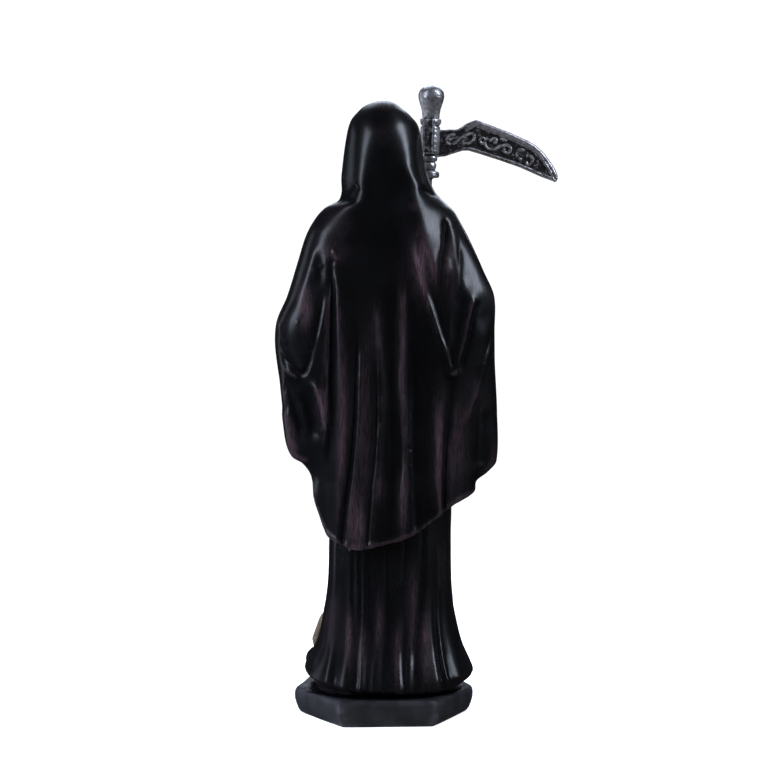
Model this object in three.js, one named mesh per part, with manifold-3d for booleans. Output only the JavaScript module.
// Santa Muerte figure: a hooded skeleton in a draped robe, cast in resin, with a scythe of its own,
// standing on a low six-sided plinth. Millimetres, +Z up, the figure faces -Y, its right hand is at -X.
// The origin is the centre of the plinth's underside.

import * as THREE from "three";
import { ParametricGeometry } from "three/addons/geometries/ParametricGeometry.js";
import { mergeVertices } from "three/addons/utils/BufferGeometryUtils.js";
import Module from "manifold-3d";

const wasm = await Module();
wasm.setup();

// Driving sizes in millimetres
const figureHeight = 186.4;
const plinthHeight = 8.4;
const plinthMargin = 1.7;
const plinthTuck = 1.6;
const plinthTopBevel = 0.7;
const plinthFrontTaper = 0.45;
const seatGap = 0.3;
const scytheGap = 0.3;
const shaftRadius = 1.06;
const scytheLength = 192.2;
const knobRadius = 4.2;
const knobLength = 11.5;
const ringRadius = 3.35;
const ringHeight = 1.8;
const socketRadius = 2.9;
const socketLength = 9.4;
const bandRadius = 2.4;
const bandHeight = 1.9;
const collarRadius = 3.3;
const collarHeight = 2;
const grooveDepth = 0.55;
const grooveHeight = 0.6;
const bladeReach = 41.6;
const bladeDepth = 10.2;
const bladeThickness = 2.6;
const bladeRim = 2.3;
const bladePanelDepth = 0.45;
const globeRadius = 6.2;
const beltRadius = 1.1;
const joinTolerance = 0.03;

// The free form keeps its pose and proportions as hundredths of the figure's height
const share = figureHeight / 100;
const base = plinthHeight + seatGap;

function at(x, y, z) {
  return new THREE.Vector3(x * share, y * share, base + z * share);
}

// Curves and closed solids

function smoothCurve(stops) {
  const slope = stops.map((stop, i) => {
    const before = stops[Math.max(i - 1, 0)];
    const after = stops[Math.min(i + 1, stops.length - 1)];
    return (after[1] - before[1]) / (after[0] - before[0]);
  });
  return (t) => {
    if (t <= stops[0][0]) return stops[0][1];
    if (t >= stops[stops.length - 1][0]) return stops[stops.length - 1][1];
    const i = stops.findIndex((stop) => stop[0] > t) - 1;
    const span = stops[i + 1][0] - stops[i][0];
    const s = (t - stops[i][0]) / span;
    const bend = s * s * (3 - 2 * s);
    const leave = s * (1 - s) * (1 - s) * span * slope[i];
    const arrive = s * s * (s - 1) * span * slope[i + 1];
    return stops[i][1] * (1 - bend) + stops[i + 1][1] * bend + leave + arrive;
  };
}

function solidOf(geometry) {
  const bare = geometry.clone();
  bare.deleteAttribute("normal");
  bare.deleteAttribute("uv");
  const merged = mergeVertices(bare, 1e-4);
  const places = merged.attributes.position.array;
  const triangles = [];
  let volume = 0;
  for (let i = 0; i < merged.index.count; i += 3) {
    const [a, b, c] = [0, 1, 2].map((k) => merged.index.getX(i + k));
    if (a === b || b === c || c === a) continue;
    triangles.push(a, b, c);
    const [p, q, r] = [a, b, c].map((k) => new THREE.Vector3().fromArray(places, k * 3));
    volume += p.dot(q.cross(r));
  }
  if (volume < 0) triangles.reverse();
  return new wasm.Manifold(new wasm.Mesh({
    numProp: 3,
    vertProperties: Float32Array.from(places),
    triVerts: Uint32Array.from(triangles),
  }));
}

function geometryOf(solid) {
  const mesh = solid.getMesh();
  const geometry = new THREE.BufferGeometry();
  geometry.setAttribute("position", new THREE.BufferAttribute(mesh.vertProperties, 3));
  geometry.setIndex(new THREE.BufferAttribute(mesh.triVerts, 1));
  geometry.computeVertexNormals();
  return geometry;
}

function joined(solids) {
  return solids.reduce((whole, solid) => whole.add(solid));
}

// Joins leave slivers where two skins graze each other: edges shorter than the tolerance close up
function cleaned(solid) {
  return solid.asOriginal().simplify(joinTolerance);
}

// A closed skin: point(angle, row) gives its places, and the first and last row each meet in a point
function skin(columns, rows, point) {
  const place = (u, v, target) => target.copy(point((u % 1) * 2 * Math.PI, Math.round(v * rows)));
  return solidOf(new ParametricGeometry(place, columns, rows));
}

function ball(centre, size, columns = 16, rows = 10) {
  const sphere = new THREE.SphereGeometry(1, columns, rows).rotateX(Math.PI / 2);
  return solidOf(sphere.scale(size[0] * share, size[1] * share, size[2] * share).translate(...centre));
}

// A rounded limb, bone or cord end that follows a few places, with its thickness at each
function limb(places, sizes, sides = 6) {
  const last = places.length - 1;
  const reach = new THREE.Vector3().subVectors(places[last], places[0]).normalize();
  const upright = Math.abs(reach.z) > 0.7 ? new THREE.Vector3(0, 1, 0) : new THREE.Vector3(0, 0, 1);
  return skin(sides, last + 2, (angle, row) => {
    const i = THREE.MathUtils.clamp(row - 1, 0, last);
    const ahead = new THREE.Vector3().subVectors(places[Math.min(i + 1, last)], places[Math.max(i - 1, 0)]).normalize();
    const side = new THREE.Vector3().crossVectors(upright, ahead).normalize();
    const other = new THREE.Vector3().crossVectors(ahead, side);
    const size = sizes[i] * share;
    if (row === 0) return places[0].clone().addScaledVector(ahead, -0.7 * size);
    if (row === last + 2) return places[last].clone().addScaledVector(ahead, 0.7 * size);
    const ring = places[i].clone().addScaledVector(side, Math.cos(angle) * size);
    return ring.addScaledVector(other, Math.sin(angle) * size);
  });
}

// Folds of the cloth: each runs between two places of the view from behind, with a sideways bow

function fold(start, end, bow, height, width) {
  return { start, end, bow, height, width };
}

function foldHeight(folds, x, z) {
  let total = 0;
  for (const { start, end, bow, height, width } of folds) {
    const t = THREE.MathUtils.clamp((z - start[1]) / (end[1] - start[1]), -0.12, 1.12);
    const centre = start[0] + (end[0] - start[0]) * t + bow * 4 * t * (1 - t);
    const away = (x - centre) / width;
    const fade = Math.min(1, (0.12 + Math.min(t, 1 - t)) * 4.5);
    total += height * fade * Math.exp(-away * away * 1.6);
  }
  return total;
}

const mantleFolds = [
  fold([10.2, 73], [10.4, 40], -0.9, -1.25, 0.9),
  fold([12.6, 50], [10.9, 66], 0.8, -0.7, 0.9),
  fold([8.6, 70], [9.1, 28], -1.9, 0.75, 1.5),
  fold([5.2, 58], [7.4, 26], -0.9, -0.75, 0.9),
  fold([3.0, 60], [5.2, 25], -0.4, 0.55, 1.2),
  fold([1.4, 64], [2.4, 27], -0.5, 0.5, 0.7),
  fold([-0.9, 62], [-0.4, 28], -0.2, -0.7, 1.1),
  fold([-2.8, 64], [-2.8, 29], -0.6, 0.65, 0.9),
  fold([-5.8, 52], [-6.2, 31], -0.2, -0.65, 1.5),
  fold([-9.2, 50], [-8.9, 32], 0.1, 0.7, 0.9),
  fold([-10.9, 53], [-10.0, 31], 0.2, -0.85, 0.7),
  fold([-12.8, 47], [-11.7, 34], 0, 0.55, 1.1),
  fold([-4.7, 75], [-11.0, 53.4], 0.4, 0.7, 0.9),
  fold([-10.5, 71], [-11.0, 53.4], 0.2, 0.6, 0.8),
  fold([-9.9, 80], [-8.9, 67], 0.2, -0.7, 0.9),
  fold([-12.6, 77], [-16.4, 65], -0.3, 0.6, 1.3),
  fold([-14.5, 47], [-14.5, 36], 0, -0.8, 0.8),
  fold([-17.2, 52], [-13.2, 46], 0.1, 0.5, 1.0),
  fold([17.4, 51], [15.1, 40], 0.1, 0.5, 1.0),
  fold([3.3, 87], [7.0, 83.5], 0.3, -0.45, 0.9),
  fold([-3.3, 89], [-8.2, 84.5], 0.4, 0.45, 1.0),
];

const robeFolds = [
  fold([8.8, 25], [10.9, 3], -1.1, 0.6, 1.2),
  fold([6.7, 21], [8.9, 4], -0.3, -0.6, 0.8),
  fold([6.0, 18], [7.2, 1], -0.4, 0.5, 0.8),
  fold([3.4, 15], [4.0, 1], 0.2, 0.6, 0.9),
  fold([0.8, 22], [1.8, 1], 0.1, 0.6, 0.8),
  fold([-2.4, 25], [-2.4, 1], 0.6, 0.55, 0.9),
  fold([-5.5, 26], [-3.6, 2], 0, 0.6, 1.0),
  fold([-6.4, 16], [-7.5, 1], 0.1, 0.55, 0.9),
  fold([-8.8, 18], [-10.3, 1], 0.2, -0.6, 0.8),
  fold([-10.2, 21], [-13.2, 3], 0.2, 0.5, 1.1),
];

// One ring of cloth round the body: wide to the left and right, deep to the back and front
function ringPoint(angle, wide, deep, roundness) {
  const [s, c] = [Math.sin(angle), Math.cos(angle)];
  const x = Math.sign(s) * Math.abs(s) ** (2 / roundness);
  const y = Math.sign(c) * Math.abs(c) ** (2 / roundness);
  return [x * (x > 0 ? wide[0] : wide[1]), y * (y > 0 ? deep[0] : deep[1])];
}

function sheer(x, y, wide, deep) {
  const normal = new THREE.Vector2(x / (x > 0 ? wide[0] : wide[1]) ** 2, y / (y > 0 ? deep[0] : deep[1]) ** 2);
  return normal.normalize();
}

// Hood and mantle, one skin from the hem of the back panel to the crown
const mantleLeft = smoothCurve([
  [24, 12.8], [37, 12.9], [39, 15.9], [42.3, 16.9], [51.5, 17.9], [58.7, 18.7], [62.8, 18.2], [66.9, 16.3],
  [73, 14.6], [77.1, 13.3], [80.2, 11.5], [82, 9.4], [83.3, 7.4], [87.4, 7.3], [93.6, 6.6], [96.7, 5.6],
  [98.7, 3.9], [99.4, 2.8], [99.8, 1.7], [100, 0.6],
]);
const mantleRight = smoothCurve([
  [24, 15.2], [35.2, 15.5], [37, 17.9], [38.8, 19.1], [47.4, 19.1], [55.6, 18.6], [66.9, 18.4], [71, 16.7],
  [77.1, 13.9], [80.2, 12.1], [82.3, 10.1], [84.3, 8.6], [86, 7.7], [89.5, 6.9], [95.6, 5.9], [97.7, 4.3],
  [98.7, 3.1], [99.4, 2.2], [99.8, 1.4], [100, 0.6],
]);
const mantleBack = smoothCurve([
  [24, 9.1], [40, 8.4], [60, 7.5], [72, 7.1], [80, 6.1], [84, 5.9], [89, 6.8], [94, 6.2], [98, 3.8], [99.5, 2], [100, 0.6],
]);
const mantleFront = smoothCurve([
  [24, 6.8], [50, 6.6], [66, 6.4], [76, 5.2], [82, 5.2], [86, 6.4], [92, 6.6], [96, 5], [98.7, 2.8], [99.6, 1.5], [100, 0.6],
]);
const mantleHem = smoothCurve([
  [-1, 33.6], [-0.93, 33.2], [-0.7, 31.6], [-0.28, 27.1], [0, 25.5], [0.3, 24.6], [0.45, 24.8], [0.75, 26.7],
  [0.87, 30.9], [0.95, 34.6], [1, 38],
]);
// Between the arms the back panel is narrower than the reach of the sleeves
const panelLeft = smoothCurve([[24, 12.8], [37, 12.9], [48, 15.6], [58, 18.6]]);
const panelRight = smoothCurve([[24, 15.2], [35, 15.5], [48, 17.4], [58, 18.6]]);
const mantleColumns = 60;
const hemTurn = 45;
const hemRows = 7;
const domeTurn = 94;
const domeRows = 5;
const bodyRows = 18;
const mantleLip = 0.8;

// Heights of the mantle's rows: crowded at the hem and over the crown
function mantleLevel(step, hem) {
  if (step <= hemRows) return hem + (hemTurn - hem) * (step / hemRows) ** 1.2;
  const plainRows = bodyRows - domeRows;
  const climbed = step - hemRows;
  if (climbed <= plainRows) return hemTurn + (domeTurn - hemTurn) * (climbed / plainRows);
  return domeTurn + (100 - domeTurn) * Math.sin((climbed - plainRows) / domeRows * Math.PI / 2);
}

function mantleAngle(angle) {
  return angle - 0.4 * Math.sin(angle);
}

function mantlePoint(rawAngle, row) {
  const angle = mantleAngle(rawAngle);
  const [across, back] = ringPoint(angle, [1, 1], [1, 1], 2);
  const sideHem = mantleHem(across > 0 ? 1 : -1);
  const hem = back > 0 ? mantleHem(across) : sideHem + (42 - sideHem) * (1 - Math.abs(across)) ** 0.4;
  if (row === 0) return at(0, 0, 35);
  const z = mantleLevel(Math.max(row - 2, 0), hem);
  if (row === hemRows + bodyRows + 3) return at(0, 0.2, 100.1);
  const wide = [mantleLeft(z), mantleRight(z)];
  const deep = [mantleBack(z), mantleFront(z)];
  const panel = z < 58 ? (across > 0 ? panelLeft(z) / wide[0] : panelRight(z) / wide[1]) : 1;
  const ring = ringPoint(angle, wide, deep, 2.3);
  const sleeved = THREE.MathUtils.smoothstep(Math.abs(across), 0.78, 0.99);
  const x = ring[0] * (panel + (1 - panel) * sleeved);
  const y = ring[1];
  const out = sheer(x, y, wide, deep);
  const carved = back > -0.25 ? foldHeight(mantleFolds, x, z) * Math.min(1, (back + 0.25) * 2.5) : 0;
  const inward = row === 1 ? mantleLip : 0;
  return at(x + out.x * (carved - inward), y + out.y * (carved - inward), z);
}

function cutThrough(outline, near, far) {
  const shape = new THREE.Shape(outline.map(([x, z]) => new THREE.Vector2(x * share, base + z * share)));
  const block = new THREE.ExtrudeGeometry(shape, { depth: (far - near) * share, bevelEnabled: false });
  return solidOf(block.rotateX(Math.PI / 2).translate(0, -near * share, 0));
}

function hoodedMantle() {
  const cloak = skin(mantleColumns, hemRows + bodyRows + 3, mantlePoint);
  const parted = [[-1.8, 86], [-4, 75], [-7, 61], [-9, 46], [-13, 20], [13, 20], [9, 46], [7, 61], [4, 75], [1.8, 86]];
  const face = [];
  for (let turn = 0; turn < 2 * Math.PI; turn += Math.PI / 8) {
    face.push([4.7 * Math.sin(turn), 90.4 - 6 * Math.cos(turn)]);
  }
  return cloak.subtract(cutThrough(parted, 4.2, 30)).subtract(cutThrough(face, 0.4, 30));
}

// Inner robe, from its ribbed hem to the neck
const robeLeft = smoothCurve([
  [0, 11], [1.6, 13.2], [2.7, 13.3], [4.3, 12.7], [7.3, 11.4], [10.4, 10.5], [14.5, 10], [26, 9.5], [52, 8.2],
  [68, 8.6], [76, 7.2], [82, 3],
]);
const robeRight = smoothCurve([
  [0, 12.4], [1.6, 14.7], [2.7, 14.8], [4.3, 14.3], [7.3, 13.1], [10.4, 12.2], [14.5, 11.4], [26, 11.2], [52, 8.6],
  [68, 8.6], [76, 7.2], [82, 3],
]);
const robeBack = smoothCurve([
  [0, 9.7], [1.6, 11.9], [4.3, 10.9], [8, 9.5], [16, 7.9], [26, 7.2], [52, 6], [76, 4], [82, 2],
]);
const robeFront = smoothCurve([
  [0, 8], [1.6, 9.9], [4.3, 9.2], [8, 8.4], [16, 7.2], [26, 6.6], [52, 5.2], [68, 5.4], [76, 4.6], [82, 2],
]);
const robeHeights = [0, 0.7, 1.2, 1.7, 2.8, 4.3, 6, 8, 10.5, 13.5, 17, 21, 26, 34, 43, 51, 55, 66, 75, 82];
const robeColumns = 54;
const frontPleats = 10;

function robePoint(rawAngle, row) {
  const angle = mantleAngle(rawAngle);
  if (row === 0) return at(0, 0, 0);
  if (row === robeHeights.length + 1) return at(0, 0, 82.5);
  const z = robeHeights[row - 1];
  const under = Math.min(z, 0.9 + 0.6 * Math.abs(Math.sin(angle)));
  const narrow = z < 1.2 ? 0.9 : 1;
  const wide = [robeLeft(Math.max(z, 1.6)) * narrow, robeRight(Math.max(z, 1.6)) * narrow];
  const deep = [robeBack(Math.max(z, 1.6)) * narrow, robeFront(Math.max(z, 1.6)) * narrow];
  const [x, y] = ringPoint(angle, wide, deep, 2.2);
  const out = sheer(x, y, wide, deep);
  const facing = THREE.MathUtils.clamp(Math.cos(angle) * 2.5 + 0.4, 0, 1);
  const flare = THREE.MathUtils.clamp((50 - z) / 40, 0, 1);
  const pleat = 0.6 * flare * Math.cos(angle * frontPleats);
  const carved = z < 1.2 ? 0 : facing * foldHeight(robeFolds, x, z) + (1 - facing) * pleat;
  const level = z >= 1.2 && z < 2.8 ? z + 0.7 * Math.abs(Math.sin(angle)) : (z === 0 ? 0 : Math.max(under, z));
  return at(x + out.x * carved, y + out.y * carved, level);
}

function robe() {
  return skin(robeColumns, robeHeights.length + 1, robePoint);
}

function belt() {
  const level = 52.5;
  const wide = [robeLeft(level), robeRight(level)];
  const deep = [robeBack(level), robeFront(level)];
  const thick = beltRadius / share;
  const ring = new ParametricGeometry((u, v, target) => {
    const [x, y] = ringPoint((u % 1) * 2 * Math.PI, wide, deep, 2.2);
    const out = sheer(x, y, wide, deep);
    const turn = (v % 1) * 2 * Math.PI;
    const reach = thick * (0.4 + Math.cos(turn));
    target.copy(at(x + out.x * reach, y + out.y * reach, level + thick * Math.sin(turn)));
  }, 22, 5);
  const front = -robeFront(level) - thick;
  const ends = [[0.9, 38], [-0.8, 34]].map(([x, z]) => {
    const places = [at(x * 0.6, front, level), at(x * 1.3, front, (level + z) / 2), at(x, front - 0.9, z)];
    return limb(places, [thick, thick, thick], 5);
  });
  return joined([solidOf(ring), ball(at(0, front, level), [1.4, 1, 1.2], 8, 5), ...ends]);
}

// Sleeves: wide cuffs that hang from the forearms, hollow at the mouth
const elbow = [14.7, 1, 56.6];
const cuff = [10.4, -6.6, 56.4];
const sleeveDrop = { left: 15.6, right: 17.4 };

function sleevePoint(side, drop, angle, row) {
  const stations = [
    [-0.42, 0, 1], [-0.34, 0.6, 1], [-0.18, 0.9, 1], [0.1, 1, 1], [0.4, 1, 1], [0.7, 1.04, 1], [0.9, 1.1, 1],
    [1, 1.16, 1], [0.98, 0.9, 1], [0.5, 0.75, 1], [0.4, 0, 1],
  ];
  const [along, swell] = stations[row];
  const heading = new THREE.Vector2(cuff[0] - elbow[0], cuff[1] - elbow[1]);
  const sideways = new THREE.Vector2(-heading.y, heading.x).normalize();
  const [c, s] = [Math.cos(angle), Math.sin(angle)];
  const hang = s < 0 ? -s : 0;
  const lateral = 3.5 * swell * c * (1 - 0.45 * hang * hang);
  const lift = s > 0 ? 3.4 * swell * s : drop * swell * s * (0.86 + 0.14 * along);
  const lean = 1.2 * hang * along;
  const x = elbow[0] + heading.x * along + sideways.x * lateral;
  const y = elbow[1] + heading.y * along + sideways.y * lateral - lean;
  return at(side * x, y, elbow[2] + (cuff[2] - elbow[2]) * along + lift);
}

function sleeve(side, drop) {
  return skin(16, 10, (angle, row) => sleevePoint(side, drop, angle, row));
}

// The scythe's axis runs from the plinth, through the right hand, past the shoulder
const scytheFoot = new THREE.Vector3(-5.9 * share, -10.7 * share, plinthHeight + scytheGap);
const grip = at(-7.4, -9.3, 55.3);
const scytheAxis = new THREE.Vector3().subVectors(grip, scytheFoot).normalize();

// Hands and wrists of bare bone
function fist() {
  const near = (x, y, z) => grip.clone().add(new THREE.Vector3(x, y, z).multiplyScalar(share));
  const parts = [limb([at(-10.4, -5, 56), at(-9.6, -7, 55.4), near(-1.5, 0.9, 0)], [0.95, 0.8, 1.5])];
  for (let i = 0; i < 4; i += 1) {
    const level = (1.5 - i) * 1.02;
    const bends = [near(-1.5, 0.9, level), near(-1.5, -0.9, level), near(-0.1, -1.5, level), near(1.3, -0.2, level)];
    parts.push(limb(bends, [0.5, 0.44, 0.43, 0.34], 6));
  }
  parts.push(limb([near(-1.4, 1, 0.6), near(0.3, 1.3, 1.2), near(1.3, 0.4, 1.6)], [0.6, 0.5, 0.4], 5));
  return joined(parts);
}

function openHand(globeCentre) {
  const palm = globeCentre.clone().add(new THREE.Vector3(0.5 * share, 1.4 * share, -globeRadius));
  const round = [1, 1, 1].map(() => globeRadius / share);
  const parts = [limb([at(10.4, -5, 56), at(9.4, -7, 55.6), palm], [0.95, 0.8, 1.6]), ball(globeCentre, round, 16, 10)];
  for (let i = 0; i < 5; i += 1) {
    const spread = -1.1 + i * 0.6;
    const bends = [-0.95, -0.5, 0.05].map((rise) => {
      const aim = new THREE.Vector3(Math.sin(spread), -Math.cos(spread), rise).normalize();
      return globeCentre.clone().addScaledVector(aim, globeRadius * 1.04);
    });
    parts.push(limb([palm, ...bends], [0.7, 0.5, 0.48, 0.36], 5));
  }
  return joined(parts);
}

// A generic skull inside the hood
function skull() {
  const middle = at(0, -2.4, 91);
  const shift = (x, y, z) => middle.clone().add(new THREE.Vector3(x, y, z).multiplyScalar(share));
  const bones = joined([
    ball(middle, [3.4, 3.6, 3.7], 16, 9),
    ball(shift(0, -1.9, -2.3), [2.5, 1.7, 2], 10, 6),
    ball(shift(0, -1.9, -4.3), [1.9, 1.5, 1.3], 10, 5),
    ball(shift(1.9, -1.9, -1.5), [1, 1.1, 0.7], 7, 5),
    ball(shift(-1.9, -1.9, -1.5), [1, 1.1, 0.7], 7, 5),
    limb([shift(0, 0, -3), shift(0, 1.5, -9)], [1.7, 2.2]),
  ]);
  const hollows = joined([
    ball(shift(1.35, -3.4, -0.5), [0.95, 1.3, 0.95], 8, 6),
    ball(shift(-1.35, -3.4, -0.5), [0.95, 1.3, 0.95], 8, 6),
    ball(shift(0, -3.7, -2), [0.42, 0.9, 0.6], 5, 4),
  ]);
  return bones.subtract(hollows);
}

// The owl perches on a low mound at the left foot
function owl() {
  return joined([
    ball(at(10.2, -4.6, 2.9), [3.5, 4.2, 3.8], 12, 7),
    ball(at(9.5, -6.4, 8.2), [2.9, 2.7, 4.8], 12, 8),
    ball(at(9.1, -7.2, 13), [2.3, 2.1, 2], 10, 6),
    limb([at(10.3, -7.2, 14), at(10.7, -7.3, 15.2)], [0.6, 0.2], 5),
    limb([at(7.9, -7.2, 14), at(7.5, -7.3, 15.2)], [0.6, 0.2], 5),
    limb([at(9.1, -9, 13.1), at(9.1, -9.4, 12.5)], [0.4, 0.2], 5),
  ]);
}

function belowPlinthTop() {
  const size = 200 * share;
  const block = new THREE.BoxGeometry(size, size, size);
  return solidOf(block.translate(0, 0, base - size / 2));
}

// Scythe, turned about its axis, with the flat blade set in its socket
const knobNeck = socketRadius + 0.1;
const ringTop = scytheLength - knobLength;
const socketTop = ringTop - ringHeight - grooveHeight;
const socketBase = socketTop - socketLength;

function turnedProfile(extra) {
  const profile = [[shaftRadius, 0]];
  let height = socketBase - 2 * (grooveHeight + bandHeight) - collarHeight;
  profile.push([shaftRadius, height]);
  const step = (radius, tall, groove) => {
    profile.push([radius, height], [radius, height + tall]);
    profile.push([radius - groove, height + tall], [radius - groove, height + tall + grooveHeight]);
    height += tall + grooveHeight;
  };
  step(collarRadius, collarHeight - grooveHeight, collarRadius - bandRadius + grooveDepth);
  step(bandRadius, bandHeight, grooveDepth);
  step(bandRadius, bandHeight, grooveDepth);
  step(socketRadius, socketLength, grooveDepth);
  profile.push([ringRadius, height], [ringRadius, ringTop], [knobNeck, ringTop]);
  const rounds = 7;
  const neckTurn = Math.asin(Math.min(knobNeck / knobRadius, 0.95));
  for (let i = 1; i <= rounds; i += 1) {
    const turn = neckTurn + (Math.PI - neckTurn) * (i / rounds);
    const rise = ringTop + knobLength * (Math.cos(neckTurn) - Math.cos(turn)) / (1 + Math.cos(neckTurn));
    profile.push([i === rounds ? 0 : knobRadius * Math.sin(turn), rise]);
  }
  return profile.map(([radius, z]) => [radius > 0 ? radius + extra : 0, z + (radius > 0 ? 0 : extra)]);
}

function turned(extra, sides) {
  const points = turnedProfile(extra).map(([radius, z]) => new THREE.Vector2(radius, z));
  const lathe = new THREE.LatheGeometry([new THREE.Vector2(0, -extra), ...points], sides);
  return solidOf(lathe.rotateX(Math.PI / 2));
}

function bladeShape(inset) {
  const [r, d] = [bladeReach, bladeDepth];
  const shape = new THREE.Shape();
  const point = (x, z) => [-(r * x), socketBase + d * z];
  const rim = inset / d;
  const side = inset / r;
  shape.moveTo(...point(0.05 + side, 0.02 + rim));
  shape.lineTo(...point(0.18, 0.14 + rim));
  shape.lineTo(...point(0.27, 0.22 + rim));
  shape.bezierCurveTo(...point(0.5, 0.1 + rim), ...point(0.72, -0.3 + rim), ...point(0.98 - side * 2, -0.9 + rim * 1.3));
  shape.lineTo(...point(1 - side * 1.3, -0.75 + rim * 0.6));
  shape.bezierCurveTo(...point(0.93 - side, -0.2 - rim * 0.6), ...point(0.82, 0.28 - rim), ...point(0.69, 0.5 - rim));
  shape.bezierCurveTo(...point(0.58, 0.72 - rim), ...point(0.46, 0.95 - rim), ...point(0.355, 1.1 - rim));
  shape.lineTo(...point(0.22, 0.85 - rim));
  shape.lineTo(...point(0.05 + side, 0.87 - rim));
  shape.closePath();
  return shape;
}

function blade() {
  const bevel = 0.5;
  const depth = bladeThickness - 2 * bevel;
  const options = { depth, bevelThickness: bevel, bevelSize: bevel, bevelOffset: -bevel, bevelSegments: 1, curveSegments: 6 };
  const plate = new THREE.ExtrudeGeometry(bladeShape(0), options).translate(0, 0, -depth / 2);
  const panel = new THREE.ExtrudeGeometry(bladeShape(bladeRim), { depth: 2, bevelEnabled: false, curveSegments: 6 });
  const face = bladeThickness / 2 - bladePanelDepth;
  const cuts = [panel.clone().translate(0, 0, face), panel.clone().translate(0, 0, -face - 2)];
  const upright = (geometry) => solidOf(geometry.rotateX(Math.PI / 2));
  return cuts.map(upright).reduce((plateSolid, cut) => plateSolid.subtract(cut), upright(plate));
}

function placeOnAxis(mesh) {
  mesh.position.copy(scytheFoot);
  mesh.quaternion.setFromUnitVectors(new THREE.Vector3(0, 0, 1), scytheAxis);
  return mesh;
}

function shaftRoom() {
  const turn = new THREE.Matrix4().compose(
    scytheFoot,
    new THREE.Quaternion().setFromUnitVectors(new THREE.Vector3(0, 0, 1), scytheAxis),
    new THREE.Vector3(1, 1, 1),
  );
  return turned(scytheGap, 12).transform(turn.elements);
}

// Six-sided plinth with its lower edge tucked in. The far edges in the photograph run nearly straight
// forward from the side corners, so the front half tapers less than the back half does
function plinth() {
  const reach = robeRight(1.6) * share + plinthMargin;
  const rings = [
    [0, 0], [reach - plinthTuck, 0], [reach - plinthTuck * 0.3, plinthTuck * 0.5], [reach, plinthTuck],
    [reach - 0.3, plinthHeight - plinthTopBevel], [reach - plinthTopBevel, plinthHeight], [0, plinthHeight],
  ];
  const columns = 24;
  return skin(columns, rings.length - 1, (angle, row) => {
    const [radius, z] = rings[row];
    const turn = Math.PI / 3;
    const within = ((angle % turn) + turn) % turn - turn / 2;
    const flat = Math.cos(turn / 2) / Math.cos(within);
    const softened = Math.min(flat, 0.985);
    const y = radius * softened * Math.sin(angle);
    const forward = radius > 0 ? Math.max(-y, 0) / (radius * Math.cos(turn / 2)) : 0;
    const spread = (1 - plinthFrontTaper * forward / 2) / (1 - forward / 2);
    return new THREE.Vector3(radius * softened * Math.cos(angle) * spread, y, z);
  });
}

// The whole figure
function robedFigure() {
  const globeCentre = at(6.6, -11, 61.4);
  const whole = joined([
    hoodedMantle(), robe(), belt(), sleeve(1, sleeveDrop.left), sleeve(-1, sleeveDrop.right), fist(),
    openHand(globeCentre), skull(), owl(),
  ]);
  return cleaned(whole.subtract(shaftRoom()).subtract(belowPlinthTop()));
}

function mesh(name, solid, material) {
  const part = new THREE.Mesh(geometryOf(solid), new THREE.MeshStandardMaterial(material));
  part.name = name;
  return part;
}

const figure = new THREE.Group();
figure.add(mesh("robed_figure", robedFigure(), { color: 0x16151a, roughness: 0.35, metalness: 0 }));
figure.add(mesh("plinth", plinth(), { color: 0x26272b, roughness: 0.7, metalness: 0 }));
const scythe = cleaned(joined([turned(0, 12), blade()]));
figure.add(placeOnAxis(mesh("scythe", scythe, { color: 0x8f9196, roughness: 0.35, metalness: 0.8 })));

export default figure;
